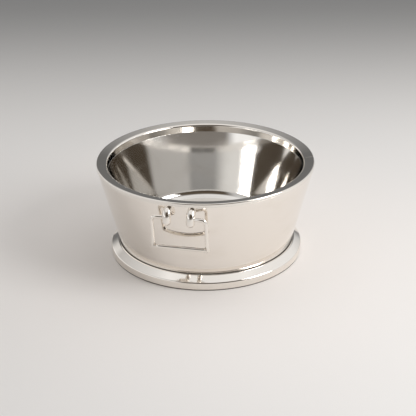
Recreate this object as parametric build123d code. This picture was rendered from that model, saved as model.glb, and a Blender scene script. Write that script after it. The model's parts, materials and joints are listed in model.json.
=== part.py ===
from build123d import *
import math
import os

# A round double-walled champagne bucket with two drop handles. Millimetres, +Z up, origin at the middle of
# the underside. The handles are at -Y (front) and +Y (back), and each swings about an axis along X.

# ---- Rim ----
RIM_RADIUS = 270.0          # outer face of the rim
RIM_HEIGHT = 241.0          # where the lip and the outer face would meet, above the table
RIM_THICKNESS = 2.0
RIM_SKIRT = 8.0             # height of the rim's outer face, down to the seam with the shell
RIM_EDGE_RADIUS = 3.0       # rounding between the outer face and the lip
LIP_FALL = 0.15             # drop of the lip for each millimetre inwards
SHOULDER_RADIUS = 6.0       # rounding between the lip and the neck
NECK_DRAFT = 1.0            # how much narrower the neck is at its bottom
RIM_WIDTH = 27.0            # from the outer face in to the crease, where the inner bowl starts
RIM_DEPTH = 24.0            # from the rim's height down to the crease
SPIGOT_DEPTH = 3.0          # how far the rim reaches down inside the shell
SPIGOT_LAP = 4.0            # how far the spigot is joined to the skirt above the seam
SEAM_WIDTH = 0.8            # hairline where the ends of the rim strip meet
SEAM_DEPTH = 0.4
SEAM_REACH = 16.0           # how far inwards it runs across the lip
SEAM_ANGLE = 14.0           # degrees from +X towards +Y

# ---- Outer shell ----
WALL_TAPER = 14.5           # degrees from upright, of both walls
SHELL_THICKNESS = 1.2
SHELL_TURN_RADIUS = 10.0    # the wall turns upright below the rim with this radius
SHELL_UPRIGHT = 0.7         # upright stretch between that turn and the seam with the rim
SHELL_CORNER_RADIUS = 3.0   # between the wall and the bottom

# ---- Inner bowl ----
BOWL_THICKNESS = 1.0
BOWL_FLOOR_HEIGHT = 44.0    # upper face of the floor above the table
BOWL_CORNER_RADIUS = 28.0   # between the inner wall and the floor
COLLAR_HEIGHT = 9.0         # collar of the inner bowl around the rim's neck
COLLAR_DEPTH = 2.5          # how far the collar laps the wall below the crease

# ---- Foot ----
FOOT_FLARE = 22.0           # how far the upright band stands outside the neck
FOOT_HEIGHT = 33.0          # ledge around the gasket
FOOT_THICKNESS = 1.5
FOOT_BAND_TOP = 20.0        # height where the upright band and the slope would meet
FOOT_BAND_RADIUS = 5.0      # rounding between the band and the slope
FOOT_BOTTOM_RADIUS = 2.5    # rounding between the band and the hem
FOOT_LEDGE_WIDTH = 4.5
FOOT_LEDGE_RADIUS = 2.0     # rounding between the slope and the ledge
FOOT_NECK_RADIUS = 1.5      # rounding between the ledge and the neck
FOOT_FLANGE_BEND = 1.0      # rounding between the neck and the flange
FOOT_NECK_DEPTH = 9.0       # from the ledge down to the shell's bottom
FOOT_FLANGE_WIDTH = 27.0
FOOT_HEM_WIDTH = 12.0       # inward turned strip at the bottom of the band
PAD_HEIGHT = 2.0
PAD_INSET = 1.6             # the pad stands this far inside the band
PAD_WIDTH = 9.0
GASKET_WIDTH = 1.2          # between the shell and the foot's neck, at the ledge
GASKET_STAND = 0.6          # how far the gasket stands above the ledge
GASKET_LIFT = 1.5           # the gasket's foot above the shell's bottom

# ---- Foot fasteners ----
FOOT_BOLT_COUNT = 8
FOOT_BOLT_INSET = 16.0      # from the foot's neck in to the circle of bolts
FOOT_BOLT_RADIUS = 2.5
FOOT_BOLT_HEAD_RADIUS = 6.0
FOOT_BOLT_HEAD_HEIGHT = 2.0
FOOT_BOLT_PROUD = 1.5       # how far a bolt stands out of its nut
FOOT_HOLE_CLEARANCE = 0.4   # radial
FOOT_WASHER_RADIUS = 6.0
FOOT_WASHER_THICKNESS = 1.2
FOOT_NUT_FLATS = 8.0
FOOT_NUT_HEIGHT = 4.0
THREAD_CLEARANCE = 0.05     # radial, between a thread and its nut or tapped hole

# ---- Floor spacer ----
SPACER_RADIUS = 124.0
SPACER_WIDTH = 14.0

# ---- Handles ----
PIVOT_DROP = 26.0           # from the rim's seam down to the pivot axis
PIVOT_STAND_OFF = 15.0      # from the shell's wall to the pivot axis, square to the wall
ROD_RADIUS = 4.5
BAIL_HALF_WIDTH = 64.3      # from the middle to a leg's centre line
BAIL_DROP = 82.4            # from the pivot axis to the lower bar's centre line
BAIL_BEND_RADIUS = 11.5     # of the centre line at the two upper corners
BAIL_LEAN = 8.0             # degrees from hanging straight down, towards the wall
STUB_CHAMFER = 0.6
LUG_SPACING = 56.0          # between the middles of a handle's two lugs
LUG_RADIUS = 10.2
LUG_BEND_RADIUS = 14.0      # of the finger's centre line
LUG_BEND_DROP = 2.0         # the bend ends this far below the pivot axis
LUG_END_LENGTH = 8.0        # straight end, from the bend down to the middle of the round tip
BORE_DEPTH = 12.0           # how far a stub enters its lug
BORE_CLEARANCE = 0.06       # radial running clearance of a stub in its bore
BORE_END_CLEARANCE = 0.5

# ---- Lug fasteners ----
SCREW_RADIUS = 3.0
SCREW_HEAD_RADIUS = 5.5
SCREW_HEAD_HEIGHT = 3.5
SCREW_SOCKET_FLATS = 4.0
SCREW_SOCKET_DEPTH = 2.0
SCREW_GRIP = 10.0           # length of thread beyond the shell's outer face
SCREW_TIP_CLEARANCE = 0.5   # below the screw's tip in its tapped hole
SCREW_HOLE_CLEARANCE = 0.3  # radial, in the shell and the saddle
LUG_WASHER_RADIUS = 7.0
LUG_WASHER_THICKNESS = 1.5
SADDLE_OVERHANG = 14.5      # beyond the middle of each screw
SADDLE_HEIGHT = 15.5
SADDLE_CORNER_RADIUS = 5.0
SADDLE_EDGE_THICKNESS = 2.5

SEAT_GAP = 0.1              # between round faces that seat in one another

# ---- Worked out from the sizes above ----
SLOPE = math.tan(math.radians(WALL_TAPER))
SIN_TAPER = math.sin(math.radians(WALL_TAPER))
COS_TAPER = math.cos(math.radians(WALL_TAPER))
SEAM_HEIGHT = RIM_HEIGHT - RIM_SKIRT
# The wall's line meets the upright line above it where the turn's two tangents are equally long.
TURN_HEIGHT = SEAM_HEIGHT - SHELL_UPRIGHT - SHELL_TURN_RADIUS * math.tan(math.radians(WALL_TAPER / 2))
SHELL_BASE = FOOT_HEIGHT - FOOT_NECK_DEPTH
CREASE_RADIUS = RIM_RADIUS - RIM_WIDTH
CREASE_HEIGHT = RIM_HEIGHT - RIM_DEPTH
NECK_TOP_RADIUS = CREASE_RADIUS + NECK_DRAFT
NECK_TOP_HEIGHT = RIM_HEIGHT - (RIM_RADIUS - NECK_TOP_RADIUS) * LIP_FALL
PIVOT_HEIGHT = SEAM_HEIGHT - PIVOT_DROP
LUG_MIDDLE = LUG_SPACING / 2
SADDLE_HALF_WIDTH = LUG_MIDDLE + SADDLE_OVERHANG


def wall_radius(height, inset=0.0):
    """Radius at a height of the cone that lies inset inside the shell's outer face."""
    return RIM_RADIUS - (TURN_HEIGHT - height) * SLOPE - inset / COS_TAPER


FOOT_NECK = wall_radius(FOOT_HEIGHT) + GASKET_WIDTH
FOOT_RADIUS = FOOT_NECK + FOOT_FLARE
FOOT_BOLT_CIRCLE = FOOT_NECK - FOOT_BOLT_INSET
PIVOT_RADIUS = wall_radius(PIVOT_HEIGHT) + PIVOT_STAND_OFF / COS_TAPER
SHELL_LINE = [
    (0, SHELL_BASE),
    (wall_radius(SHELL_BASE), SHELL_BASE),
    (RIM_RADIUS, TURN_HEIGHT),
    (RIM_RADIUS, SEAM_HEIGHT),
]


# ---- Sections and solids of revolution ----

def parallel(points, distance):
    """Corner points of the line that runs beside an open line of (radius, height) points, on its left."""
    starts = []
    for (ax, az), (bx, bz) in zip(points, points[1:]):
        length = math.hypot(bx - ax, bz - az)
        dx = (bx - ax) / length
        dz = (bz - az) / length
        starts.append((ax - dz * distance, az + dx * distance, dx, dz))
    beside = [starts[0][:2]]
    for (px, pz, dx, dz), (qx, qz, ex, ez) in zip(starts, starts[1:]):
        along = ((qx - px) * ez - (qz - pz) * ex) / (dx * ez - dz * ex)
        beside.append((px + along * dx, pz + along * dz))
    last_x, last_z = points[-1]
    dx, dz = starts[-1][2:]
    beside.append((last_x - dz * distance, last_z + dx * distance))
    return beside


def turns_left(a, b, c):
    """True where the line a, b, c turns left at b."""
    return (b[0] - a[0]) * (c[1] - b[1]) - (b[1] - a[1]) * (c[0] - b[0]) > 0


def sheet(points, radii, thickness):
    """Turned sheet: an open line of (radius, height) points, rounded and thickened to its left."""
    beside = parallel(points, thickness)
    beside_radii = []
    for index, radius in enumerate(radii):
        inner = turns_left(*points[index:index + 3])
        beside_radii.append(radius - thickness if inner else radius + thickness)
    corners = [*points, *reversed(beside)]
    rounding = [0, *radii, 0, 0, *reversed(beside_radii), 0]
    return turned(corners, rounding)


def turned(corners, rounding=None):
    """Solid of revolution about Z of a closed outline of (radius, height) corners."""
    rounding = rounding or [0] * len(corners)
    outline = FilletPolyline(*corners, radius=rounding, close=True)
    return revolve(Plane.XZ * make_face(outline), Axis.Z, 360)


def ring(outer, inner, low, high):
    """Flat ring between two radii and two heights."""
    return turned([(inner, low), (outer, low), (outer, high), (inner, high)])


def around(shape, count, first=0.0):
    """Copies of a shape, evenly spaced about Z."""
    return [Rot(0, 0, first + 360 * index / count) * shape for index in range(count)]


def group(shapes):
    """Separate solids held in one node."""
    return Compound(children=[solid for shape in shapes for solid in shape.solids()])


# ---- Body ----

def outer_shell():
    """Tapered outer wall with a flat closed bottom, and holes for the foot bolts and the lug screws."""
    shell = sheet(SHELL_LINE, [SHELL_CORNER_RADIUS, SHELL_TURN_RADIUS], SHELL_THICKNESS)
    shell -= around(foot_hole(), FOOT_BOLT_COUNT)
    shell -= both_handles(lug_screw_holes())
    return shell


def rim_ring():
    """Broad turned-in lip with a steep neck, an outer skirt and a spigot that seats inside the shell."""
    line = [
        (RIM_RADIUS, SEAM_HEIGHT),
        (RIM_RADIUS, RIM_HEIGHT),
        (NECK_TOP_RADIUS, NECK_TOP_HEIGHT),
        (CREASE_RADIUS, CREASE_HEIGHT),
    ]
    radii = [RIM_EDGE_RADIUS, SHOULDER_RADIUS]
    spigot_inset = SHELL_THICKNESS + SEAT_GAP
    seat = parallel(SHELL_LINE, spigot_inset)
    low = SEAM_HEIGHT - SPIGOT_DEPTH
    spigot_line = [(wall_radius(low, spigot_inset), low), seat[2], (seat[3][0], SEAM_HEIGHT + SPIGOT_LAP)]
    rim = sheet(line, radii, RIM_THICKNESS)
    rim += sheet(spigot_line, [SHELL_TURN_RADIUS - spigot_inset], RIM_THICKNESS)
    rim -= ring(RIM_RADIUS, 1, 0, CREASE_HEIGHT)
    across = Box(2 * SEAM_REACH, SEAM_WIDTH, 2 * RIM_DEPTH)
    hairline = Rot(0, 0, SEAM_ANGLE) * Pos(RIM_RADIUS, 0, RIM_HEIGHT) * across
    return rim - (hairline & sheet(line, radii, SEAM_DEPTH))


def inner_bowl():
    """Inner wall and floor, with a collar that holds the rim's neck above the crease."""
    floor_radius = CREASE_RADIUS - (CREASE_HEIGHT - BOWL_FLOOR_HEIGHT) * SLOPE
    wall_line = [(CREASE_RADIUS, CREASE_HEIGHT), (floor_radius, BOWL_FLOOR_HEIGHT), (0, BOWL_FLOOR_HEIGHT)]
    bowl = sheet(wall_line, [BOWL_CORNER_RADIUS], BOWL_THICKNESS)
    bowl -= ring(RIM_RADIUS, 1, CREASE_HEIGHT, SEAM_HEIGHT)
    in_wall = CREASE_RADIUS + BOWL_THICKNESS / 2
    collar_foot = CREASE_RADIUS + RIM_THICKNESS + SEAT_GAP
    collar_top = CREASE_HEIGHT + COLLAR_HEIGHT
    collar_face = collar_foot + COLLAR_HEIGHT * NECK_DRAFT / (NECK_TOP_HEIGHT - CREASE_HEIGHT)
    return bowl + turned([
        (in_wall, CREASE_HEIGHT),
        (in_wall - COLLAR_DEPTH * SLOPE, CREASE_HEIGHT - COLLAR_DEPTH),
        (collar_foot + BOWL_THICKNESS, CREASE_HEIGHT - BOWL_THICKNESS),
        (collar_face + BOWL_THICKNESS, collar_top),
        (collar_face, collar_top),
        (collar_foot, CREASE_HEIGHT),
    ])


def foot_ring():
    """Flared foot: a hem and an upright band, a slope up to a ledge, and a neck down to the bolted flange."""
    line = [
        (FOOT_RADIUS - FOOT_HEM_WIDTH, PAD_HEIGHT),
        (FOOT_RADIUS, PAD_HEIGHT),
        (FOOT_RADIUS, FOOT_BAND_TOP),
        (FOOT_NECK + FOOT_LEDGE_WIDTH, FOOT_HEIGHT),
        (FOOT_NECK, FOOT_HEIGHT),
        (FOOT_NECK, SHELL_BASE),
        (FOOT_NECK - FOOT_FLANGE_WIDTH, SHELL_BASE),
    ]
    radii = [FOOT_BOTTOM_RADIUS, FOOT_BAND_RADIUS, FOOT_LEDGE_RADIUS, FOOT_NECK_RADIUS, FOOT_FLANGE_BEND]
    return sheet(line, radii, FOOT_THICKNESS) - around(foot_hole(), FOOT_BOLT_COUNT)


def joint_gasket():
    """Dark ring between the shell and the foot, standing a little above the foot's ledge."""
    low = SHELL_BASE + GASKET_LIFT
    high = FOOT_HEIGHT + GASKET_STAND
    return turned([
        (wall_radius(low, -SEAT_GAP), low),
        (FOOT_NECK - SEAT_GAP, low),
        (FOOT_NECK - SEAT_GAP, high),
        (wall_radius(high, -SEAT_GAP), high),
    ])


def foot_pad():
    """Soft ring under the foot's hem, which the bucket stands on."""
    outer = FOOT_RADIUS - PAD_INSET
    return ring(outer, outer - PAD_WIDTH, 0, PAD_HEIGHT)


def floor_spacer():
    """Ring between the shell's bottom and the inner bowl's floor."""
    low = SHELL_BASE + SHELL_THICKNESS
    return ring(SPACER_RADIUS, SPACER_RADIUS - SPACER_WIDTH, low, BOWL_FLOOR_HEIGHT - BOWL_THICKNESS)


# ---- Foot fasteners ----

def foot_hole():
    """Cutter for one bolt hole through the shell's bottom and the foot's flange."""
    depth = 4 * (SHELL_THICKNESS + FOOT_THICKNESS)
    return Pos(FOOT_BOLT_CIRCLE, 0, SHELL_BASE) * Cylinder(FOOT_BOLT_RADIUS + FOOT_HOLE_CLEARANCE, depth)


def foot_bolts():
    """Round-headed bolts, their heads inside the hollow wall."""
    seat = SHELL_BASE + SHELL_THICKNESS
    nut_bottom = SHELL_BASE - FOOT_THICKNESS - FOOT_WASHER_THICKNESS - FOOT_NUT_HEIGHT
    length = seat - nut_bottom + FOOT_BOLT_PROUD
    bolt = Pos(0, 0, -length / 2) * Cylinder(FOOT_BOLT_RADIUS, length)
    bolt += Pos(0, 0, FOOT_BOLT_HEAD_HEIGHT / 2) * Cylinder(FOOT_BOLT_HEAD_RADIUS, FOOT_BOLT_HEAD_HEIGHT)
    return group(around(Pos(FOOT_BOLT_CIRCLE, 0, seat) * bolt, FOOT_BOLT_COUNT))


def foot_washers():
    """Washers under the foot's flange."""
    middle = SHELL_BASE - FOOT_THICKNESS - FOOT_WASHER_THICKNESS / 2
    washer = Cylinder(FOOT_WASHER_RADIUS, FOOT_WASHER_THICKNESS)
    washer -= Cylinder(FOOT_BOLT_RADIUS + FOOT_HOLE_CLEARANCE, 2 * FOOT_WASHER_THICKNESS)
    return group(around(Pos(FOOT_BOLT_CIRCLE, 0, middle) * washer, FOOT_BOLT_COUNT))


def foot_nuts():
    """Hexagon nuts under the washers."""
    middle = SHELL_BASE - FOOT_THICKNESS - FOOT_WASHER_THICKNESS - FOOT_NUT_HEIGHT / 2
    nut = extrude(RegularPolygon(FOOT_NUT_FLATS / 2, 6, major_radius=False), FOOT_NUT_HEIGHT / 2, both=True)
    nut -= Cylinder(FOOT_BOLT_RADIUS + THREAD_CLEARANCE, 2 * FOOT_NUT_HEIGHT)
    return group(around(Pos(FOOT_BOLT_CIRCLE, 0, middle) * nut, FOOT_BOLT_COUNT))


# ---- Handles: everything is made for the front one, and the back one is half a turn away ----

def both_handles(shape):
    """A front piece and its copy on the back handle."""
    return [shape, Rot(0, 0, 180) * shape]


def bail():
    """Square loop of rod: two stubs, two bent upper corners, two legs, and a lower bar with mitred ends."""
    stub_end = LUG_MIDDLE + LUG_RADIUS - BORE_DEPTH
    corners = [
        (-stub_end, 0),
        (-BAIL_HALF_WIDTH, 0),
        (-BAIL_HALF_WIDTH, -BAIL_DROP),
        (BAIL_HALF_WIDTH, -BAIL_DROP),
        (BAIL_HALF_WIDTH, 0),
        (stub_end, 0),
    ]
    path = FilletPolyline(*corners, radius=[BAIL_BEND_RADIUS, 0, 0, BAIL_BEND_RADIUS])
    section = Plane(origin=(-stub_end, 0, 0), z_dir=(-1, 0, 0)) * Circle(ROD_RADIUS)
    rod = sweep(section, path=Plane.XZ * path, transition=Transition.RIGHT)
    ends = rod.faces().filter_by(Axis.X).edges()
    rod = chamfer(ends, STUB_CHAMFER)
    return Pos(0, -PIVOT_RADIUS, PIVOT_HEIGHT) * Rot(BAIL_LEAN, 0, 0) * rod


def lug(side):
    """Round finger: square to the wall, bent straight down, with a ball at its end bored for a stub."""
    middle = side * LUG_MIDDLE
    bend_end = Vector(middle, -PIVOT_RADIUS, PIVOT_HEIGHT - LUG_BEND_DROP)
    bend_axis = Axis((middle, -PIVOT_RADIUS + LUG_BEND_RADIUS, bend_end.Z), (-1, 0, 0))
    finger = revolve(Plane(bend_end) * Circle(LUG_RADIUS), bend_axis, 90 - WALL_TAPER)
    finger += Pos(bend_end) * Pos(0, 0, -LUG_END_LENGTH / 2) * Cylinder(LUG_RADIUS, LUG_END_LENGTH)
    finger += Pos(bend_end) * Pos(0, 0, -LUG_END_LENGTH) * Sphere(LUG_RADIUS)
    stem = Pos(0, 0, lug_root() - PIVOT_STAND_OFF / 2) * Cylinder(LUG_RADIUS, PIVOT_STAND_OFF)
    finger += screw_plane(middle) * stem
    finger -= wall_core(-SEAT_GAP)
    bore_end = LUG_MIDDLE + LUG_RADIUS - BORE_DEPTH - BORE_END_CLEARANCE
    bore = Pos(side * (bore_end + BORE_DEPTH), -PIVOT_RADIUS, PIVOT_HEIGHT) * Rot(0, 90, 0)
    finger -= bore * Cylinder(ROD_RADIUS + BORE_CLEARANCE, 2 * BORE_DEPTH)
    tapped_depth = SCREW_GRIP + SCREW_TIP_CLEARANCE
    return finger - screw_plane(middle) * Cylinder(SCREW_RADIUS + THREAD_CLEARANCE, 2 * tapped_depth)


def lug_root():
    """Distance from the wall, square to it, at which the finger starts to bend."""
    return PIVOT_STAND_OFF - LUG_BEND_RADIUS * COS_TAPER + LUG_BEND_DROP * SIN_TAPER


def screw_plane(middle):
    """Plane square to a lug's screw, on the shell's face in the handle's middle plane; its Z points out."""
    out = Vector(0, -COS_TAPER, -SIN_TAPER)
    up = Vector(0, -SIN_TAPER, COS_TAPER)
    bend_middle = Vector(middle, -PIVOT_RADIUS + LUG_BEND_RADIUS, PIVOT_HEIGHT - LUG_BEND_DROP)
    origin = bend_middle + up * LUG_BEND_RADIUS - out * lug_root()
    return Plane(origin=origin, x_dir=(1, 0, 0), z_dir=out)


def saddle_depth():
    """Distance from the shell's outer face to the saddle's flat back, in the handle's middle plane."""
    inside = wall_radius(screw_plane(0).origin.Z, SHELL_THICKNESS + SEAT_GAP)
    curve = inside - math.sqrt(inside ** 2 - SADDLE_HALF_WIDTH ** 2)
    return SHELL_THICKNESS + SEAT_GAP + curve * COS_TAPER + SADDLE_EDGE_THICKNESS


def wall_core(inset):
    """Solid cone inside the wall, its face the given distance inside the shell's outer face."""
    low = PIVOT_HEIGHT - 2 * SADDLE_HEIGHT
    high = RIM_HEIGHT
    return turned([(0, low), (wall_radius(low, inset), low), (wall_radius(high, inset), high), (0, high)])


def lug_screw_holes():
    """Cutters for a handle's two screw holes, through the shell and the saddle."""
    hole = Cylinder(SCREW_RADIUS + SCREW_HOLE_CLEARANCE, 4 * saddle_depth())
    return Part() + [screw_plane(side * LUG_MIDDLE) * hole for side in (-1, 1)]


def saddle():
    """Backing plate inside the wall: its face follows the shell, its back is flat under the heads."""
    depth = saddle_depth()
    blank = RectangleRounded(2 * SADDLE_HALF_WIDTH, SADDLE_HEIGHT, SADDLE_CORNER_RADIUS)
    plate = screw_plane(0) * Pos(0, 0, -depth) * extrude(blank, depth)
    plate &= wall_core(SHELL_THICKNESS + SEAT_GAP)
    return plate - lug_screw_holes()


def lug_washers():
    """Two washers on the saddle's back."""
    washer = Cylinder(LUG_WASHER_RADIUS, LUG_WASHER_THICKNESS)
    washer -= Cylinder(SCREW_RADIUS + SCREW_HOLE_CLEARANCE, 2 * LUG_WASHER_THICKNESS)
    place = Pos(0, 0, -saddle_depth() - LUG_WASHER_THICKNESS / 2)
    return group([screw_plane(side * LUG_MIDDLE) * place * washer for side in (-1, 1)])


def lug_screws():
    """Two socket-head screws, from inside the hollow wall into the lugs."""
    seat = -saddle_depth() - LUG_WASHER_THICKNESS
    length = SCREW_GRIP - seat
    screw = Pos(0, 0, seat + length / 2) * Cylinder(SCREW_RADIUS, length)
    screw += Pos(0, 0, seat - SCREW_HEAD_HEIGHT / 2) * Cylinder(SCREW_HEAD_RADIUS, SCREW_HEAD_HEIGHT)
    socket = extrude(RegularPolygon(SCREW_SOCKET_FLATS / 2, 6, major_radius=False), SCREW_SOCKET_DEPTH)
    screw -= Pos(0, 0, seat - SCREW_HEAD_HEIGHT) * socket
    return group([screw_plane(side * LUG_MIDDLE) * screw for side in (-1, 1)])


def handle_nodes():
    """The pieces of both handles by name. Left is the -X side on both."""
    nodes = {}
    pairs = {"bail": bail(), "saddle": saddle(), "lug_washers": lug_washers(), "lug_screws": lug_screws()}
    for name, piece in pairs.items():
        nodes[f"front_{name}"], nodes[f"back_{name}"] = both_handles(piece)
    nodes["front_left_lug"], nodes["back_right_lug"] = both_handles(lug(-1))
    nodes["front_right_lug"], nodes["back_left_lug"] = both_handles(lug(1))
    return nodes


def all_nodes():
    """Every piece by name."""
    return {
        "outer_shell": outer_shell(),
        "inner_bowl": inner_bowl(),
        "rim_ring": rim_ring(),
        "foot_ring": foot_ring(),
        "joint_gasket": joint_gasket(),
        "foot_pad": foot_pad(),
        "floor_spacer": floor_spacer(),
        "foot_bolts": foot_bolts(),
        "foot_washers": foot_washers(),
        "foot_nuts": foot_nuts(),
        **handle_nodes(),
    }


os.makedirs("parts", exist_ok=True)
for node_name, node_shape in all_nodes().items():
    export_step(node_shape, f"parts/{node_name}.step")
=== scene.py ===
import json
import math

import bpy
import numpy as np
from mathutils import Matrix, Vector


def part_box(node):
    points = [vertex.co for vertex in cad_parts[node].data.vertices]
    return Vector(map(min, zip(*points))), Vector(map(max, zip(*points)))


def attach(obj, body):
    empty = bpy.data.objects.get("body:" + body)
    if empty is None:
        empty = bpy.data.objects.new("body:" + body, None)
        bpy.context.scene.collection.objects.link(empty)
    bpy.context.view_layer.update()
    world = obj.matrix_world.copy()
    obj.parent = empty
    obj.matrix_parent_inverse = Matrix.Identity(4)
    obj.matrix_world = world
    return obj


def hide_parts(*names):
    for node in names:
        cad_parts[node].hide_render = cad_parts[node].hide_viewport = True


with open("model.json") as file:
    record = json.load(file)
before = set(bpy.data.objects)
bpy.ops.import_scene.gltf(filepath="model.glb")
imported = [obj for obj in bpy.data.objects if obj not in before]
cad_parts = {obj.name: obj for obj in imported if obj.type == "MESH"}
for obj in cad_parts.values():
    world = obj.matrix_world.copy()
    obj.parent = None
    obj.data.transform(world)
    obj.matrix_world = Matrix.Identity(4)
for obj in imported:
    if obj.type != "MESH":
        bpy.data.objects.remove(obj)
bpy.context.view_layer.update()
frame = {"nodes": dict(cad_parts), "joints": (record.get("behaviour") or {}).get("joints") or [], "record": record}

# A round double-walled champagne bucket: mirror-polished turned sheet, two drop handles of square-bent rod.
# Everything is in metres in the CAD frame. Heights and radii come from the CAD nodes' boxes; the sizes
# below are the ones that a box can't give.

# ---- Sizes of the turned sheets ----
WALL_TAPER = math.radians(14.5)
SHELL_THICKNESS = 0.0012
SHELL_TURN_RADIUS = 0.010
SHELL_UPRIGHT = 0.0007      # upright stretch between the turn and the rim
SHELL_CORNER_RADIUS = 0.003
BOWL_THICKNESS = 0.001
BOWL_CORNER_RADIUS = 0.028
RIM_THICKNESS = 0.002
RIM_WIDTH = 0.027
RIM_SKIRT = 0.008
RIM_EDGE_RADIUS = 0.003
LIP_FALL = 0.15             # drop of the lip for each metre inwards
SHOULDER_RADIUS = 0.006
NECK_DRAFT = 0.001          # how much narrower the neck is at its bottom
FOOT_THICKNESS = 0.0015
FOOT_BAND_TOP = 0.020
FOOT_BAND_RADIUS = 0.005
FOOT_BOTTOM_RADIUS = 0.0025
FOOT_HEM_WIDTH = 0.012
FOOT_LEDGE_WIDTH = 0.0045
FOOT_LEDGE_RADIUS = 0.002
FOOT_NECK_RADIUS = 0.0015
FOOT_FLANGE_BEND = 0.001
FOOT_FLANGE_WIDTH = 0.027
FOOT_FLARE = 0.0220

# ---- The fine joint across the rim strip ----
SEAM_ANGLE = math.radians(14)
SEAM_WIDTH = 0.0008
SEAM_DEPTH = 0.0004
SEAM_REACH = 0.016          # how far inwards from the rim's outer face it runs
SEAM_EDGE = 0.0001          # columns this far beside the joint's edges, so that shading stays true

# ---- Sizes of a handle ----
ROD_RADIUS = 0.0045
BAIL_BEND_RADIUS = 0.0115
BAIL_LEAN = math.radians(8.0)
BAIL_DROP = 0.0824
STUB_END = 0.0262           # half the lugs' spacing (28 mm) + a lug's radius (10.2) - its bore's depth (12)
STUB_CHAMFER = 0.0006
MITRE_SOFTNESS = 0.0002     # how far from its corner each of a mitre's two rings lies
MITRE_LEAD = 3 * ROD_RADIUS     # from a mitred corner to the nearest plain ring

# ---- Fineness of the meshes ----
TURNS = 360                 # facets around a turned sheet
ROW_LENGTH = 0.006          # longest row along a straight stretch of a sheet's section
LEAD = 0.0003               # short row beside each corner, so that shading stays true
ARC_STEP = math.radians(6)
ARC_FEWEST_STEPS = 3
ROD_SIDES = 48
ROD_BEND_STEPS = 18         # steps round a bent corner of a rod
ON_AXIS = 1e-6              # points nearer to the axis than this become poles

# ---- Camera: the viewpoint and angle of the reference view ----
CAMERA_PLACE = (0.5684, -2.4632, 1.2953)
CAMERA_AZIMUTH = math.radians(12.9)
CAMERA_PITCH = math.radians(25.23)
CAMERA_ROLL = -0.0096
CAMERA_LENS = 95.34
CAMERA_SENSOR = 36.0
CAMERA_SHIFT = 0.0012

# ---- Stage ----
FLOOR_RADIUS = 9.0
FLOOR_OPENING = 0.2
FLOOR_RINGS = 40
FLOOR_SIDES = 96
FLOOR_PAINTED_FALLOFF_SPAN = (0.3, 0.9)      # painted light falloff: the floor greys to its colour around the middle between these distances from it
FLOOR_BACK_SPAN = (0.5, 2.6)        # it changes to FLOOR_BACK between these distances behind the middle
KEY_DIRECTION = (0.776, -0.138, 0.616)
KEY_DISTANCE = 2.6
KEY_SIZE = 1.2
KEY_POWER = 28.0
# Tones of the room's four sides: (sine of the height above the horizon, brightness, warmth)
ROOM_BACK = [
    (0.0, 0.17, 0.0),
    (0.42, 0.15, 0.0),
    (0.56, 0.36, 0.0),
    (0.72, 0.8, 0.01),
    (0.9, 0.96, 0.01),
    (1.0, 0.8, 0.01),
]
ROOM_FRONT = [
    (0.0, 0.30, 0.05),
    (0.15, 0.2, 0.1),
    (0.28, 0.06, 0.25),
    (0.80, 0.09, 0.25),
    (0.94, 0.9, 0.02),
    (1.0, 0.8, 0.01),
]
ROOM_LEFT = [
    (0.0, 0.60, 0.01),
    (0.09, 1.05, 0.01),
    (0.25, 1.05, 0.01),
    (0.42, 0.52, 0.02),
    (0.62, 0.60, 0.01),
    (0.8, 0.70, 0.01),
    (1.0, 0.8, 0.01),
]
ROOM_RIGHT = [
    (0.0, 0.40, 0.0),
    (0.12, 0.85, 0.0),
    (0.6, 0.95, 0.0),
    (0.9, 0.95, 0.01),
    (1.0, 0.8, 0.01),
]
# Where one side gives way to the next, by the direction's part to the right or away from the camera. A slant
# is the share of the part away that is added to the part to the right.
FRONT_SPAN = (0.0, -0.6)
LEFT_SPAN = (-0.38, -0.62)
LEFT_SLANT = 0.1
RIGHT_SPAN = (0.45, 0.9)
RIGHT_SLANT = 0.25

# ---- Colours ----
SILVER = (0.91, 0.87, 0.82, 1)
SILVER_DULL = (0.84, 0.79, 0.72, 1)
BOWL_METAL = (0.84, 0.82, 0.79, 1)
BOWL_METAL_DULL = (0.76, 0.73, 0.69, 1)
# Painted shade: the dark brown laid into the rim's fine joint, standing in for the shade in its slot
PAINTED_SEAM_SHADE = (0.05, 0.035, 0.025, 1)
STEEL = (0.42, 0.42, 0.43, 1)
STEEL_RUBBED = (0.68, 0.68, 0.68, 1)
GASKET = (0.075, 0.065, 0.055, 1)
GASKET_DUSTY = (0.12, 0.105, 0.09, 1)
PAD = (0.15, 0.135, 0.12, 1)
PAD_DUSTY = (0.22, 0.20, 0.18, 1)
PLASTIC = (0.70, 0.69, 0.66, 1)
PLASTIC_SCUFFED = (0.80, 0.79, 0.77, 1)
FLOOR_NEAR = (0.90, 0.865, 0.84, 1)
# Painted light falloff: the floor's colour around the middle, a little greyer than near it
FLOOR_PAINTED_FALLOFF = (0.84, 0.825, 0.81, 1)
FLOOR_BACK = (0.31, 0.31, 0.31, 1)

# ---- Patterns in the surfaces ----
# Cells are counted along a metre. A span is the two values between which a mark starts to show and is full.
BEND_FADE = 0.006           # a bend of this radius shows about a third of a sharp edge's wear
LINE_CELLS = 900.0
LINE_STRETCH = 1.2          # cells from the middle of a circle to its edge, whatever its size
LINE_SLANT = 1.3            # weight of the radius beside the height, so that flat parts have lines as well
LINE_LEAST_RADIUS = 0.0001
LINE_SPAN = (0.5, 0.75)
SCRATCH_TURNS = ((0.3, 0.5, 0.2), (1.2, -0.4, 0.9), (-0.7, 1.0, 2.1))
SCRATCH_CELLS = (14.0, 420.0, 420.0)
SCRATCH_SPAN = (0.69, 0.76)
PATCH_CELLS = 11.0
PATCH_FULL = 0.72
SMEAR_BEND_CELLS = 5.0
SMEAR_BEND = (0.12, 0.12, 0.12)
SMEAR_SHAPE = (1.0, 1.0, 2.2)
SMEAR_SOFTNESS = 0.22
POINTED_SPAN = (0.52, 0.60)
WEAR_CELLS = 160.0
WEAR_SPAN = (0.35, 0.65)
WAVE_SHAPE = (1.0, 1.0, 0.6)
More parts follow.
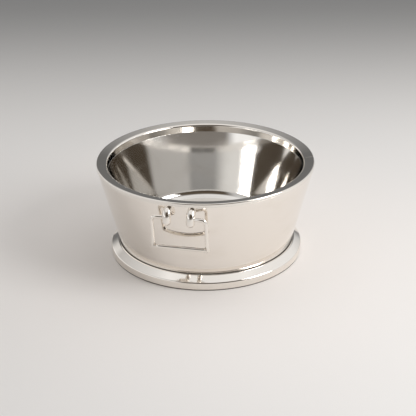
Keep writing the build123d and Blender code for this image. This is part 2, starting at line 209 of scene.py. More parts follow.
STEEL_GRAIN_CELLS = 2600.0
RUBBER_GRAIN_CELLS = 3200.0
PLASTIC_GRAIN_CELLS = 1900.0
FLOOR_GRAIN_CELLS = 420.0

# ---- Heights in metres where a pattern is full, and how much it dulls or stains a mirror ----
LINE_HEIGHT = 0.0000006
SCRATCH_HEIGHT = -0.000004
STEEL_SCRATCH_HEIGHT = -0.00001
STEEL_GRAIN_HEIGHT = 0.000004
RUBBER_GRAIN_HEIGHT = 0.00004
PLASTIC_GRAIN_HEIGHT = 0.00003
FLOOR_GRAIN_HEIGHT = 0.0002
SCRATCH_DULLS = 0.16
WEAR_DULLS = 0.10
LINE_DULLS = 0.02
GAP_DULLS = 0.5
WEAR_STAINS = 0.6           # beside a smear's 1
STAIN_STRENGTH = 0.45


# ---- Sections: open lines of (radius, height) corners ----

def parallel(line, distance):
    """Corners of the line beside an open line, at a distance on its left: each corner moves along the two
    neighbouring normals until both offset lines meet."""
    along = np.diff(line, axis=0)
    along /= np.linalg.norm(along, axis=1)[:, None]
    left = np.column_stack([-along[:, 1], along[:, 0]])
    ends = [line[0] + left[0] * distance, line[-1] + left[-1] * distance]
    both = left[:-1] + left[1:]
    inner = line[1:-1] + both * distance / (1 + np.sum(left[:-1] * left[1:], axis=1))[:, None]
    return np.vstack([ends[0], inner, ends[1]])


def straight(start, end):
    """Points from start to end, spaced by ROW_LENGTH at most, with a short lead row at both ends."""
    length = np.linalg.norm(end - start)
    lead = min(LEAD, length / 4) / length
    rows = max(1, math.ceil(length / ROW_LENGTH))
    share = np.concatenate([[0], np.linspace(lead, 1 - lead, rows + 1), [1]])
    return start + share[:, None] * (end - start)


def rounded(line, radii):
    """Points along an open line with arcs at its inner corners, and how sharply each point is bent (0 to 1).
    An arc touches its two lines at radius * tan(half the turn) from the corner."""
    points, bent = [], []
    start = line[0]
    for before, corner, after, radius in zip(line, line[1:], line[2:], radii):
        came = (corner - before) / np.linalg.norm(corner - before)
        goes = (after - corner) / np.linalg.norm(after - corner)
        turn = math.atan2(came[0] * goes[1] - came[1] * goes[0], came @ goes)
        reach = radius * math.tan(abs(turn) / 2)
        side = math.copysign(1, turn) * np.array([-came[1], came[0]])
        middle = corner - came * reach + side * radius
        run = straight(start, corner - came * reach)
        steps = max(ARC_FEWEST_STEPS, math.ceil(abs(turn) / ARC_STEP))
        angles = np.linspace(0, abs(turn), steps + 1)[1:-1, None]
        arc = middle + radius * (np.sin(angles) * came - np.cos(angles) * side)
        points += [run, arc]
        bent += [np.zeros(len(run)), np.full(len(arc), math.exp(-radius / BEND_FADE))]
        start = corner + goes * reach
    last = straight(start, line[-1])
    return np.vstack([*points, last]), np.concatenate([*bent, np.zeros(len(last))])


def turns_left(line):
    """For each inner corner of an open line, True where it turns left."""
    along = np.diff(line, axis=0)
    return along[:-1, 0] * along[1:, 1] - along[:-1, 1] * along[1:, 0] > 0


def sheet_section(line, radii, thickness):
    """Closed outline of a bent sheet: out along the line, and back along its parallel on the left, whose
    bends have a radius smaller by the thickness where the line turns left and larger where it turns right."""
    line = np.array(line, float)
    change = np.where(turns_left(line), -thickness, thickness)
    face, face_bent = rounded(line, radii)
    back, back_bent = rounded(parallel(line, thickness)[::-1], (np.array(radii) + change)[::-1])
    return np.vstack([face, back]), np.concatenate([face_bent, back_bent])


# ---- Meshes ----

def mesh_piece(name, points, faces, bent, gap=None):
    """A smooth-shaded mesh object at the origin, with the bend of each point in its attribute 'bent', and in
    its attribute 'gap' a 1 where the point lies in a fine joint."""
    mesh = bpy.data.meshes.new(name)
    mesh.from_pydata(points.tolist(), [], [face for block in faces for face in block.tolist()])
    mesh.attributes.new("bent", "FLOAT", "POINT").data.foreach_set("value", bent.astype(np.float32))
    if gap is not None:
        mesh.attributes.new("gap", "FLOAT", "POINT").data.foreach_set("value", gap.astype(np.float32))
    mesh.shade_smooth()
    mesh.update()
    piece = bpy.data.objects.new(name, mesh)
    bpy.context.scene.collection.objects.link(piece)
    return piece


def joint_columns(radius):
    """Directions round the axis, with more of them at the rim's fine joint: beside, at and inside both of its
    edges. Also which of them lie in the joint."""
    beside = np.array([SEAM_WIDTH / 2 + SEAM_EDGE, SEAM_WIDTH / 2, SEAM_WIDTH / 2 - SEAM_EDGE]) / radius
    even = np.linspace(0, 2 * math.pi, TURNS, endpoint=False)
    even = even[np.abs(even - SEAM_ANGLE) > 2 * beside[0]]
    angle = np.sort(np.concatenate([even, SEAM_ANGLE - beside, SEAM_ANGLE + beside]))
    return angle, np.abs(angle - SEAM_ANGLE) < (beside[1] + beside[2]) / 2


def turned(name, section, sink=None):
    """A section turned about Z: a point (radius, height) at angle a goes to (radius cos a, radius sin a,
    height). Where the section crosses the axis, both points on the axis become poles closed with triangles.
    With a sink, each row's (radius, height) moves by it in the columns of the fine joint."""
    outline, bent = section
    on_axis = outline[:, 0] < ON_AXIS
    has_poles = bool(on_axis.any())
    if has_poles:
        first = int(np.flatnonzero(on_axis & ~np.roll(on_axis, -1))[0])
        outline, bent, on_axis = (np.roll(values, -first, axis=0) for values in (outline, bent, on_axis))
        poles = outline[[0, len(outline) - on_axis[1:].sum()]]
        outline, bent = outline[~on_axis], bent[~on_axis]
    if sink is None:
        angle, joined = np.linspace(0, 2 * math.pi, TURNS, endpoint=False), np.zeros(TURNS, bool)
        sink = np.zeros_like(outline)
    else:
        angle, joined = joint_columns(outline[:, 0].max())
    turns = len(angle)
    radius, height = outline[:, :1] + sink[:, :1] * joined, outline[:, 1:] + sink[:, 1:] * joined
    points = np.stack([radius * np.cos(angle), radius * np.sin(angle), height], axis=-1).reshape(-1, 3)
    column = np.arange(turns)
    beside = (column + 1) % turns
    rows = len(outline) - 1 if has_poles else len(outline)
    row = np.arange(rows)[:, None] * turns
    next_row = (np.arange(1, rows + 1) % len(outline))[:, None] * turns
    quads = np.stack([row + column, row + beside, next_row + beside, next_row + column], axis=-1)
    faces = [quads.reshape(-1, 4)]
    values = np.repeat(bent, turns)
    gap = (np.linalg.norm(sink, axis=1)[:, None] * joined > 0).ravel()
    if has_poles:
        low_pole, high_pole = len(points), len(points) + 1
        top_row = rows * turns
        points = np.vstack([points, [[0, 0, poles[0][1]], [0, 0, poles[1][1]]]])
        values, gap = np.append(values, [0, 0]), np.append(gap, [0, 0])
        faces.append(np.column_stack([np.full(turns, low_pole), beside, column]))
        faces.append(np.column_stack([top_row + column, top_row + beside, np.full(turns, high_pole)]))
    return mesh_piece(name, points, faces, values, gap)


def stand_for(piece, node):
    """The piece takes the place and the body of a CAD node, which is hidden."""
    body = next(name for name, nodes in frame["record"]["behaviour"]["bodies"].items() if node in nodes)
    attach(piece, body)
    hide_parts(node)
    return piece


# ---- The turned pieces ----

def outer_wall():
    """Flat bottom, tapered wall and a short upright stretch under the rim."""
    low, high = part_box("outer_shell")
    turn_height = high.z - SHELL_UPRIGHT - SHELL_TURN_RADIUS * math.tan(WALL_TAPER / 2)
    base_radius = high.x - (turn_height - low.z) * math.tan(WALL_TAPER)
    line = [(0, low.z), (base_radius, low.z), (high.x, turn_height), (high.x, high.z)]
    section = sheet_section(line, [SHELL_CORNER_RADIUS, SHELL_TURN_RADIUS], SHELL_THICKNESS)
    return stand_for(turned("outer_wall", section), "outer_shell")


def rim():
    """Skirt, edge, broad lip that falls inwards, shoulder and steep neck. Across the skirt and the outer half
    of the lip runs the fine joint of the strip that the rim was bent from: there the face lies a little
    deeper."""
    low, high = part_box("rim_ring")
    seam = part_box("outer_shell")[1].z
    top = seam + RIM_SKIRT
    crease_radius = high.x - RIM_WIDTH
    neck_top = crease_radius + NECK_DRAFT
    shoulder = top - (high.x - neck_top) * LIP_FALL
    line = [(high.x, seam), (high.x, top), (neck_top, shoulder), (crease_radius, low.z)]
    radii = [RIM_EDGE_RADIUS, SHOULDER_RADIUS]
    section = sheet_section(line, radii, RIM_THICKNESS)
    face = rounded(np.array(line), radii)[0]
    along = np.gradient(face, axis=0)
    along /= np.linalg.norm(along, axis=1)[:, None]
    into_metal = np.column_stack([-along[:, 1], along[:, 0]])
    sink = np.zeros_like(section[0])
    sink[:len(face)] = SEAM_DEPTH * into_metal * (face[:, :1] > high.x - SEAM_REACH)
    return stand_for(turned("rim", section, sink), "rim_ring")


def bowl():
    """Inner wall with the outer wall's taper, a large bend and the flat floor."""
    crease_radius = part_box("rim_ring")[1].x - RIM_WIDTH
    crease_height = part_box("rim_ring")[0].z
    floor_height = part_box("inner_bowl")[0].z + BOWL_THICKNESS
    floor_radius = crease_radius - (crease_height - floor_height) * math.tan(WALL_TAPER)
    line = [(crease_radius, crease_height), (floor_radius, floor_height), (0, floor_height)]
    return stand_for(turned("bowl", sheet_section(line, [BOWL_CORNER_RADIUS], BOWL_THICKNESS)), "inner_bowl")


def foot():
    """Hem, upright band, slope, ledge, neck and the bolted flange."""
    low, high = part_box("foot_ring")
    shell_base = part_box("outer_shell")[0].z
    neck = high.x - FOOT_FLARE
    line = [
        (high.x - FOOT_HEM_WIDTH, low.z),
        (high.x, low.z),
        (high.x, FOOT_BAND_TOP),
        (neck + FOOT_LEDGE_WIDTH, high.z),
        (neck, high.z),
        (neck, shell_base),
        (neck - FOOT_FLANGE_WIDTH, shell_base),
    ]
    radii = [FOOT_BOTTOM_RADIUS, FOOT_BAND_RADIUS, FOOT_LEDGE_RADIUS, FOOT_NECK_RADIUS, FOOT_FLANGE_BEND]
    return stand_for(turned("foot", sheet_section(line, radii, FOOT_THICKNESS)), "foot_ring")


# ---- The handles' loops ----

def loop_path(half_width, drop):
    """Centre line of a loop in its own plane, as (across, down) points: a stub, a bent corner, a leg, a
    mitred corner, half of the lower bar, and the same again mirrored. Also which of the points are mitres."""
    quarter = np.linspace(0, math.pi / 2, ROD_BEND_STEPS + 1)[1:-1, None]
    bend_middle = np.array([-half_width + BAIL_BEND_RADIUS, BAIL_BEND_RADIUS])
    bend = bend_middle - BAIL_BEND_RADIUS * np.column_stack([np.sin(quarter), np.cos(quarter)])
    stub = np.array([[-STUB_END, 0], [-STUB_END - STUB_CHAMFER, 0], [-half_width + BAIL_BEND_RADIUS, 0]])
    leg = np.array([[-half_width, BAIL_BEND_RADIUS], [-half_width, drop - MITRE_LEAD]])
    mitre = np.array([[-half_width, drop - MITRE_SOFTNESS], [-half_width + MITRE_SOFTNESS, drop]])
    bar = np.array([[-half_width + MITRE_LEAD, drop]])
    left = np.vstack([stub, bend, leg, mitre, bar])
    is_mitre = np.zeros(len(left), bool)
    is_mitre[-3:-1] = True
    path = np.vstack([left, (left * [-1, 1])[::-1]])
    return path, np.concatenate([is_mitre, is_mitre[::-1]])


def rod_piece(name, path, is_mitre):
    """Round rod along a flat path: each ring is the circle of the rod square to the path, in the path's plane
    and along the plane's normal. At a mitre the path's direction is the diagonal, and the ring is the same
    circle slid along the path until it lies in the mitre."""
    ahead = np.gradient(path, axis=0)
    ahead[is_mitre] = np.round(ahead[is_mitre] / np.abs(ahead[is_mitre]).max(axis=1)[:, None])
    ahead /= np.linalg.norm(ahead, axis=1)[:, None]
    stretch = np.where(is_mitre, math.sqrt(2), 1.0)
    beside = np.column_stack([-ahead[:, 1], ahead[:, 0]]) * stretch[:, None]
    turn = np.linspace(0, 2 * math.pi, ROD_SIDES, endpoint=False)
    radius = np.full(len(path), ROD_RADIUS)
    radius[[0, -1]] = ROD_RADIUS - STUB_CHAMFER
    flat = path[:, None, :] + radius[:, None, None] * np.cos(turn)[None, :, None] * beside[:, None, :]
    thick = radius[:, None] * np.sin(turn)
    points = np.stack([flat[..., 0], thick, -flat[..., 1]], axis=-1).reshape(-1, 3)
    column = np.arange(ROD_SIDES)
    row = np.arange(len(path) - 1)[:, None] * ROD_SIDES
    after = (column + 1) % ROD_SIDES
    sides = np.stack([row + column, row + after, row + ROD_SIDES + after, row + ROD_SIDES + column], axis=-1)
    last = (len(path) - 1) * ROD_SIDES
    ends = [len(points), len(points) + 1]
    points = np.vstack([points, [[path[0, 0], 0, -path[0, 1]], [path[-1, 0], 0, -path[-1, 1]]]])
    caps = [
        np.column_stack([np.full(ROD_SIDES, ends[0]), after, column]),
        np.column_stack([last + column, last + after, np.full(ROD_SIDES, ends[1])]),
    ]
    bent = np.append(np.repeat(is_mitre.astype(float), ROD_SIDES), [0, 0])
    return mesh_piece(name, points, [sides.reshape(-1, 4), *caps], bent)


def handle_loop(name, node, joint):
    """One handle's loop: made hanging straight down from its pivot, leant towards the wall, and for the back
    handle turned half round."""
    half_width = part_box(node)[1].x - ROD_RADIUS
    pivot = np.array(joint["pos_m"])
    piece = rod_piece(name, *loop_path(half_width, BAIL_DROP))
    lean = Matrix.Rotation(BAIL_LEAN, 4, "X")
    facing = Matrix.Rotation(0 if pivot[1] < 0 else math.pi, 4, "Z")
    piece.data.transform(Matrix.Translation(pivot) @ facing @ lean)
    return stand_for(piece, node)


# ---- Materials ----

def node(tree, kind, settings=None, inputs=None):
    """A shader node with its settings, and its inputs set to values or linked to other nodes' outputs."""
    made = tree.nodes.new(kind)
    for name, value in (settings or {}).items():
        setattr(made, name, value)
    for name, value in (inputs or {}).items():
        if isinstance(value, bpy.types.NodeSocket):
            tree.links.new(value, made.inputs[name])
        else:
            made.inputs[name].default_value = value
    return made


def maths(tree, operation, *values, clamp=False):
    """Output of a Math node."""
    settings = {"operation": operation, "use_clamp": clamp}
    return node(tree, "ShaderNodeMath", settings, dict(enumerate(values))).outputs[0]


def ramp(tree, value, low, high):
    """A value mapped smoothly from a range to 0 to 1, and held at both ends."""
    inputs = {"Value": value, "From Min": low, "From Max": high}
    return node(tree, "ShaderNodeMapRange", {"interpolation_type": "SMOOTHSTEP"}, inputs).outputs["Result"]


def mix_colour(tree, share, first, second):
    """Two colours mixed by a share. A Mix node has its colours at inputs 6 and 7 and at output 2."""
    made = node(tree, "ShaderNodeMix", {"data_type": "RGBA"})
    for index, value in ((0, share), (6, first), (7, second)):
        if isinstance(value, bpy.types.NodeSocket):
            tree.links.new(value, made.inputs[index])
        else:
            made.inputs[index].default_value = value
    return made.outputs[2]


def noise(tree, vector, scale, detail=2.0, roughness=0.5):
    """Noise from 0 to 1 at a vector, with scale cells for each unit of it."""
    inputs = {"Vector": vector, "Scale": scale, "Detail": detail, "Roughness": roughness}
    return node(tree, "ShaderNodeTexNoise", None, inputs).outputs["Fac"]


def new_group(name, inputs, outputs):
    """An empty node group with float inputs and outputs by name, and the sockets of its two end nodes."""
    tree = bpy.data.node_groups.new(name, "ShaderNodeTree")
    for direction, labels in (("INPUT", inputs), ("OUTPUT", outputs)):
        for label in labels:
            tree.interface.new_socket(label, in_out=direction, socket_type="NodeSocketFloat")
    return tree, tree.nodes.new("NodeGroupInput").outputs, tree.nodes.new("NodeGroupOutput").inputs


def object_point(tree):
    """The shaded point in the object's own coordinates."""
    return node(tree, "ShaderNodeTexCoord").outputs["Object"]


def scaled(tree, vector, factors):
    """A vector with each part multiplied by its own factor."""
    return node(tree, "ShaderNodeVectorMath", {"operation": "MULTIPLY"}, {0: vector, 1: factors}).outputs[0]


def spun_lines_group():
    """Fine lines left by polishing on a lathe. They run round Z: noise of (direction from the axis, and
    radius plus height), stretched along the first and tight across the second. Out come height and mask, 0
    to 1."""
    tree, given, out = new_group("spun_lines", ["lines per metre", "stretch"], ["height", "mask"])
    split = node(tree, "ShaderNodeSeparateXYZ", None, {0: object_point(tree)}).outputs
    squares = [maths(tree, "MULTIPLY", part, part) for part in (split[0], split[1])]
    radius = maths(tree, "SQRT", maths(tree, "ADD", *squares))
    safe = maths(tree, "MAXIMUM", radius, LINE_LEAST_RADIUS)
    around_x = maths(tree, "MULTIPLY", maths(tree, "DIVIDE", split[0], safe), given["stretch"])
    around_y = maths(tree, "MULTIPLY", maths(tree, "DIVIDE", split[1], safe), given["stretch"])
    across = maths(tree, "ADD", maths(tree, "MULTIPLY", radius, LINE_SLANT), split[2])
    tight = maths(tree, "MULTIPLY", across, given["lines per metre"])
    vector = node(tree, "ShaderNodeCombineXYZ", None, {0: around_x, 1: around_y, 2: tight}).outputs[0]
    lines = noise(tree, vector, 1.0, detail=3.0, roughness=0.6)
    tree.links.new(lines, out["height"])
    tree.links.new(ramp(tree, lines, *LINE_SPAN), out["mask"])
    return tree


def scratches_group():
    """Hairline scratches from use, in three directions: noise stretched thirty times along one direction,
    kept only at its crests, and only in patches. Out comes a mask, 0 to 1."""
    tree, given, out = new_group("hairline_scratches", ["fineness", "patchiness"], ["mask"])
    point = object_point(tree)
    total = None
    for angles in SCRATCH_TURNS:
        turned_point = node(tree, "ShaderNodeMapping", None, {"Vector": point, "Rotation": angles}).outputs[0]
        streak = {0: scaled(tree, turned_point, SCRATCH_CELLS), "Scale": given["fineness"]}
        fine = node(tree, "ShaderNodeVectorMath", {"operation": "SCALE"}, streak).outputs[0]
        crest = ramp(tree, noise(tree, fine, 1.0, detail=1.0), *SCRATCH_SPAN)
        total = crest if total is None else maths(tree, "MAXIMUM", total, crest)
    patches = ramp(tree, noise(tree, point, PATCH_CELLS), given["patchiness"], PATCH_FULL)
    tree.links.new(maths(tree, "MULTIPLY", total, patches), out["mask"])
    return tree


def smudges_group():
    """Wiped finger marks and cloth smears: broad soft noise bent by a second one, kept where it is high."""
    tree, given, out = new_group("smudges", ["size per metre", "cover"], ["mask"])
    point = object_point(tree)
    slow = {"Vector": point, "Scale": SMEAR_BEND_CELLS, "Detail": 2.0}
    bend = node(tree, "ShaderNodeTexNoise", None, slow).outputs["Color"]
    shift = {0: bend, 1: SMEAR_BEND, 2: point}
    shifted = node(tree, "ShaderNodeVectorMath", {"operation": "MULTIPLY_ADD"}, shift).outputs[0]
    smear = scaled(tree, shifted, SMEAR_SHAPE)
    broad = noise(tree, smear, given["size per metre"], detail=5.0, roughness=0.62)
    threshold = maths(tree, "SUBTRACT", 1.0, given["cover"])
    full = maths(tree, "ADD", threshold, SMEAR_SOFTNESS)
    tree.links.new(ramp(tree, broad, threshold, full), out["mask"])
    return tree


def edge_wear_group():
    """Rubbed edges: where a new piece is bent tightly or a CAD node comes to an edge, broken up by fine
    noise."""
    tree, given, out = new_group("edge_wear", ["amount"], ["mask"])
    bent = node(tree, "ShaderNodeAttribute", {"attribute_name": "bent"}).outputs["Fac"]
    pointed = ramp(tree, node(tree, "ShaderNodeNewGeometry").outputs["Pointiness"], *POINTED_SPAN)
    edge = maths(tree, "MAXIMUM", bent, pointed)
    fine = noise(tree, object_point(tree), WEAR_CELLS, detail=4.0, roughness=0.7)
    broken = ramp(tree, fine, *WEAR_SPAN)
    wear = maths(tree, "MULTIPLY", maths(tree, "MULTIPLY", edge, broken), given["amount"])
    tree.links.new(wear, out["mask"])
    return tree


def waviness_group():
    """Slow waves of spun sheet: broad noise, taller than it is wide, as a height from 0 to 1."""
    tree, given, out = new_group("sheet_waviness", ["waves per metre"], ["height"])
    slow = noise(tree, scaled(tree, object_point(tree), WAVE_SHAPE), given["waves per metre"], detail=1.0)
    tree.links.new(slow, out["height"])
    return tree


def new_material(name):
    """An empty node material: its tree and its Principled shader."""
    material = bpy.data.materials.new(name)
    material.use_nodes = True
    tree = material.node_tree
    return material, tree, tree.nodes["Principled BSDF"]


def placed(tree, group, **inputs):
    """A node group placed in a material with its own values. An underscore in a name stands for a space."""
    values = {name.replace("_", " "): value for name, value in inputs.items()}
    return node(tree, "ShaderNodeGroup", {"node_tree": group}, values).outputs


def bump(tree, height, depth, normal=None):
    """Normal of a surface raised by depth metres where height is 1."""
    inputs = {"Height": height, "Distance": depth, "Strength": 1.0}
    if normal is not None:
        inputs["Normal"] = normal
    return node(tree, "ShaderNodeBump", None, inputs).outputs["Normal"]


def roughness(tree, base, *marks):
    """A roughness: a base value, and where the mask of a (mask, amount) mark is 1, that much more."""
    for mask, amount in marks:
        base = maths(tree, "MULTIPLY_ADD", mask, amount, base)
    return base


def mirror_metal(name, groups, colour, dull_colour, polish, haze, waves=0.00006, spun=True, joined=False):
    """Mirror-polished metal: slow waves, lathe lines, hairline scratches, smears and rubbed edges. A joined strip
    has painted shade in its fine joint, dark brown and dull."""
    material, tree, shader = new_material(name)
    smears = placed(tree, groups["smudges"], size_per_metre=7.0, cover=0.52)["mask"]
    scratch = placed(tree, groups["scratches"], fineness=1.0, patchiness=0.48)["mask"]
    wear = placed(tree, groups["edges"], amount=0.8)["mask"]
    wave = placed(tree, groups["waves"], waves_per_metre=8.0)["height"]
    stains = maths(tree, "ADD", smears, maths(tree, "MULTIPLY", wear, WEAR_STAINS))
    stain_and_seam_shade_colour = mix_colour(tree, maths(tree, "MULTIPLY", stains, STAIN_STRENGTH, clamp=True), colour, dull_colour)
    marks = [(smears, haze), (scratch, SCRATCH_DULLS), (wear, WEAR_DULLS)]
    if joined:
        gap = node(tree, "ShaderNodeAttribute", {"attribute_name": "gap"}).outputs["Fac"]
        # painted shade: the fine joint's slot is coloured dark brown; elsewhere the colour carries the real stains
        stain_and_seam_shade_colour = mix_colour(tree, gap, stain_and_seam_shade_colour, PAINTED_SEAM_SHADE)
        marks.append((gap, GAP_DULLS))
    normal = bump(tree, wave, waves)
    if spun:
        lines = placed(tree, groups["spun"], lines_per_metre=LINE_CELLS, stretch=LINE_STRETCH)
        marks.append((lines["mask"], LINE_DULLS))
        normal = bump(tree, lines["height"], LINE_HEIGHT, normal)
    normal = bump(tree, scratch, SCRATCH_HEIGHT, normal)
    tree.links.new(stain_and_seam_shade_colour, shader.inputs["Base Color"])
    tree.links.new(roughness(tree, polish, *marks), shader.inputs["Roughness"])
    tree.links.new(normal, shader.inputs["Normal"])
    shader.inputs["Metallic"].default_value = 1.0
    return material


def fastener_metal(name, groups):
    """Plain steel of screws, bolts, nuts, washers and backing plates: satin, with scratches and rubbed, paler
    edges."""
    material, tree, shader = new_material(name)
    scratch = placed(tree, groups["scratches"], fineness=2.2, patchiness=0.3)["mask"]
    wear = placed(tree, groups["edges"], amount=1.0)["mask"]
    grain = noise(tree, object_point(tree), STEEL_GRAIN_CELLS)
    normal = bump(tree, scratch, STEEL_SCRATCH_HEIGHT, bump(tree, grain, STEEL_GRAIN_HEIGHT))
    tree.links.new(mix_colour(tree, wear, STEEL, STEEL_RUBBED), shader.inputs["Base Color"])
    tree.links.new(roughness(tree, 0.22, (grain, 0.16), (wear, -0.10)), shader.inputs["Roughness"])
    tree.links.new(normal, shader.inputs["Normal"])
    shader.inputs["Metallic"].default_value = 1.0
    return material


def soft_rubber(name, groups, colour, dusty_colour):
    """Matte rubber: a fine pebbled surface with dust in it and shinier rubbed edges."""
    material, tree, shader = new_material(name)
    dust = placed(tree, groups["smudges"], size_per_metre=26.0, cover=0.5)["mask"]
    wear = placed(tree, groups["edges"], amount=0.7)["mask"]
    grain = noise(tree, object_point(tree), RUBBER_GRAIN_CELLS, detail=3.0, roughness=0.6)
    tree.links.new(mix_colour(tree, dust, colour, dusty_colour), shader.inputs["Base Color"])
    tree.links.new(roughness(tree, 0.55, (grain, 0.2), (wear, -0.2)), shader.inputs["Roughness"])
    tree.links.new(bump(tree, grain, RUBBER_GRAIN_HEIGHT), shader.inputs["Normal"])
    return material


def moulded_plastic(name, groups):
    """Pale moulded plastic with a fine spark-eroded texture and a few scuffs."""
    material, tree, shader = new_material(name)
    scuff = placed(tree, groups["scratches"], fineness=1.4, patchiness=0.35)["mask"]
    grain = noise(tree, object_point(tree), PLASTIC_GRAIN_CELLS, detail=3.0, roughness=0.6)
    tree.links.new(mix_colour(tree, scuff, PLASTIC, PLASTIC_SCUFFED), shader.inputs["Base Color"])
    tree.links.new(roughness(tree, 0.40, (grain, 0.25)), shader.inputs["Roughness"])
    tree.links.new(bump(tree, grain, PLASTIC_GRAIN_HEIGHT), shader.inputs["Normal"])
    return material


def paint(piece, material):
    """The piece or CAD node shows this material alone."""
    if piece.material_slots:
        for slot in piece.material_slots:
            slot.material = material
    else:
        piece.data.materials.append(material)


# ---- Stage, light and camera ----

def floor():
    """A round pale floor with painted light falloff, a little greyer away from the middle. It grows greyer towards
    the back. From underneath it can be seen through, and it is left open inside the foot, so that the underside
    has light."""
    radius = np.geomspace(FLOOR_OPENING, FLOOR_RADIUS, FLOOR_RINGS + 1)[:, None]
    angle = np.linspace(0, 2 * math.pi, FLOOR_SIDES, endpoint=False)
    flat = np.zeros((len(radius), len(angle)))
    points = np.stack([radius * np.cos(angle), radius * np.sin(angle), flat], axis=-1).reshape(-1, 3)
    column = np.arange(FLOOR_SIDES)
    row = np.arange(FLOOR_RINGS)[:, None] * FLOOR_SIDES
    after = (column + 1) % FLOOR_SIDES
    outer = row + FLOOR_SIDES
    quads = np.stack([row + column, outer + column, outer + after, row + after], axis=-1).reshape(-1, 4)
    piece = mesh_piece("floor", points, [quads], np.zeros(len(points)))
    material, tree, shader = new_material("pale_floor")
    point = object_point(tree)
    distance = node(tree, "ShaderNodeVectorMath", {"operation": "LENGTH"}, {0: point}).outputs["Value"]
    # painted light falloff: paler near the middle, greyer around it
    floor_with_painted_falloff = mix_colour(tree, ramp(tree, distance, *FLOOR_PAINTED_FALLOFF_SPAN), FLOOR_NEAR, FLOOR_PAINTED_FALLOFF)
    backwards = (-math.sin(CAMERA_AZIMUTH), math.cos(CAMERA_AZIMUTH), 0)
    depth = node(tree, "ShaderNodeVectorMath", {"operation": "DOT_PRODUCT"}, {0: point, 1: backwards})
    behind = ramp(tree, depth.outputs["Value"], *FLOOR_BACK_SPAN)
    grain = noise(tree, point, FLOOR_GRAIN_CELLS, detail=3.0)
    tree.links.new(mix_colour(tree, behind, floor_with_painted_falloff, FLOOR_BACK), shader.inputs["Base Color"])
    tree.links.new(roughness(tree, 0.85, (grain, 0.1)), shader.inputs["Roughness"])
    tree.links.new(bump(tree, grain, FLOOR_GRAIN_HEIGHT), shader.inputs["Normal"])
    shader.inputs["Specular IOR Level"].default_value = 0.1
    clear = node(tree, "ShaderNodeBsdfTransparent").outputs[0]
    under = node(tree, "ShaderNodeNewGeometry").outputs["Backfacing"]
    seen = node(tree, "ShaderNodeMixShader", None, {0: under, 1: shader.outputs[0], 2: clear}).outputs[0]
    tree.links.new(seen, tree.nodes["Material Output"].inputs["Surface"])
    paint(piece, material)


def tones(tree, value, stops):
    """A grey that follows a value from 0 to 1 through stops of (value, brightness, warmth)."""
    made = node(tree, "ShaderNodeValToRGB", None, {"Fac": value})
    elements = made.color_ramp.elements
    while len(elements) < len(stops):
        elements.new(0.5)       # anywhere between the first two: every stop gets its place below
    for element, (place, bright, warmth) in zip(elements, stops):
        element.position = place
        element.color = (bright * (1 + warmth), bright, bright * (1 - warmth), 1)
    return made.outputs["Color"]


def room():
    """A soft studio room as the world, with four sides turned to the camera's azimuth. The back is dark grey
    low down and bright from 45 degrees up. The right side is bright, the left has a low bright window, and
    the front is dark brown between 16 and 53 degrees up."""
    world = bpy.data.worlds.new("soft_room")
    bpy.context.scene.world = world
    world.use_nodes = True
    tree = world.node_tree
    view = node(tree, "ShaderNodeTexCoord").outputs["Generated"]
    turn = {"Vector": view, "Rotation": (0, 0, -CAMERA_AZIMUTH)}
    facing = node(tree, "ShaderNodeMapping", None, turn).outputs[0]
    split = node(tree, "ShaderNodeSeparateXYZ", None, {0: facing}).outputs
    up = maths(tree, "MAXIMUM", split[2], 0.0)
    colour = tones(tree, up, ROOM_BACK)
    colour = mix_colour(tree, ramp(tree, split[1], *FRONT_SPAN), colour, tones(tree, up, ROOM_FRONT))
    left = maths(tree, "MULTIPLY_ADD", maths(tree, "MAXIMUM", split[1], 0.0), LEFT_SLANT, split[0])
    colour = mix_colour(tree, ramp(tree, left, *LEFT_SPAN), colour, tones(tree, up, ROOM_LEFT))
    right = maths(tree, "MULTIPLY_ADD", split[1], RIGHT_SLANT, split[0])
    colour = mix_colour(tree, ramp(tree, right, *RIGHT_SPAN), colour, tones(tree, up, ROOM_RIGHT))
    tree.links.new(colour, tree.nodes["Background"].inputs["Color"])
    tree.nodes["Background"].inputs["Strength"].default_value = 1.0


def key_light():
    """One soft square lamp on the right, 38 degrees up."""
    data = bpy.data.lights.new("key", "AREA")
    data.shape = "SQUARE"
    data.size = KEY_SIZE
    data.energy = KEY_POWER
    lamp = bpy.data.objects.new("key", data)
    direction = np.array(KEY_DIRECTION) / np.linalg.norm(KEY_DIRECTION)
    lamp.matrix_world = look_along(direction * KEY_DISTANCE, -direction)
    bpy.context.scene.collection.objects.link(lamp)


def look_along(place, direction):
    """Matrix of a lamp at a place that shines along a direction: its -Z lies along it."""
    back = -np.array(direction)
    right = np.cross([0, 0, 1], back)
    right /= np.linalg.norm(right)
    up = np.cross(back, right)
    matrix = np.identity(4)
    matrix[:3, 0], matrix[:3, 1], matrix[:3, 2], matrix[:3, 3] = right, up, back, place
    return Matrix(matrix)


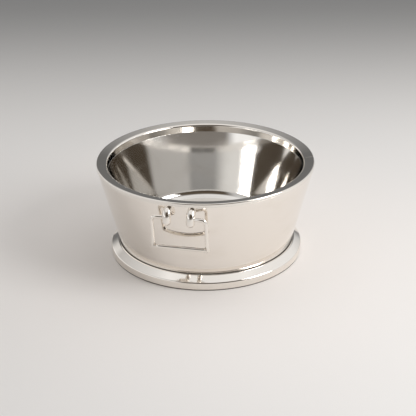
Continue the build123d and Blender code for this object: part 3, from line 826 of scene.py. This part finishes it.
def camera():
    """The camera: turned about Z by its azimuth, tipped down by its pitch, and rolled a little."""
    data = bpy.data.cameras.new("camera")
    data.lens = CAMERA_LENS
    data.sensor_width = CAMERA_SENSOR
    data.shift_x = CAMERA_SHIFT
    seen_from = bpy.data.objects.new("camera", data)
    turn = Matrix.Rotation(CAMERA_AZIMUTH, 4, "Z")
    tip = Matrix.Rotation(math.pi / 2 - CAMERA_PITCH, 4, "X")
    roll = Matrix.Rotation(CAMERA_ROLL, 4, "Z")
    seen_from.matrix_world = Matrix.Translation(CAMERA_PLACE) @ turn @ tip @ roll
    bpy.context.scene.collection.objects.link(seen_from)
    bpy.context.scene.camera = seen_from


# ---- Build ----

camera()
room()
key_light()
floor()

groups = {
    "spun": spun_lines_group(),
    "scratches": scratches_group(),
    "smudges": smudges_group(),
    "edges": edge_wear_group(),
    "waves": waviness_group(),
}
wall_silver = mirror_metal("wall_silver", groups, SILVER, SILVER_DULL, polish=0.035, haze=0.05)
rim_silver = mirror_metal(
    "rim_silver", groups, SILVER, SILVER_DULL, polish=0.05, haze=0.06, waves=0.00003, joined=True)
foot_silver = mirror_metal("foot_silver", groups, SILVER, SILVER_DULL, polish=0.05, haze=0.06, waves=0.00003)
bowl_steel = mirror_metal("bowl_steel", groups, BOWL_METAL, BOWL_METAL_DULL, polish=0.07, haze=0.10)
handle_silver = mirror_metal(
    "handle_silver", groups, SILVER, SILVER_DULL, polish=0.05, haze=0.06, waves=0.00001, spun=False)
steel = fastener_metal("fastener_steel", groups)
gasket_rubber = soft_rubber("gasket_rubber", groups, GASKET, GASKET_DUSTY)
pad_rubber = soft_rubber("pad_rubber", groups, PAD, PAD_DUSTY)
plastic = moulded_plastic("spacer_plastic", groups)

paint(outer_wall(), wall_silver)
paint(rim(), rim_silver)
paint(bowl(), bowl_steel)
paint(foot(), foot_silver)
joints = {joint["child"]: joint for joint in frame["joints"]}
paint(handle_loop("front_loop", "front_bail", joints["front_handle"]), handle_silver)
paint(handle_loop("back_loop", "back_bail", joints["back_handle"]), handle_silver)

node_materials = {
    "joint_gasket": gasket_rubber,
    "foot_pad": pad_rubber,
    "floor_spacer": plastic,
    "foot_bolts": steel,
    "foot_washers": steel,
    "foot_nuts": steel,
}
for end in ("front", "back"):
    for piece_name in ("saddle", "lug_washers", "lug_screws"):
        node_materials[f"{end}_{piece_name}"] = steel
    for side in ("left", "right"):
        node_materials[f"{end}_{side}_lug"] = handle_silver
for node_name, node_material in node_materials.items():
    paint(frame["nodes"][node_name], node_material)

bpy.context.scene.view_settings.view_transform = "Standard"
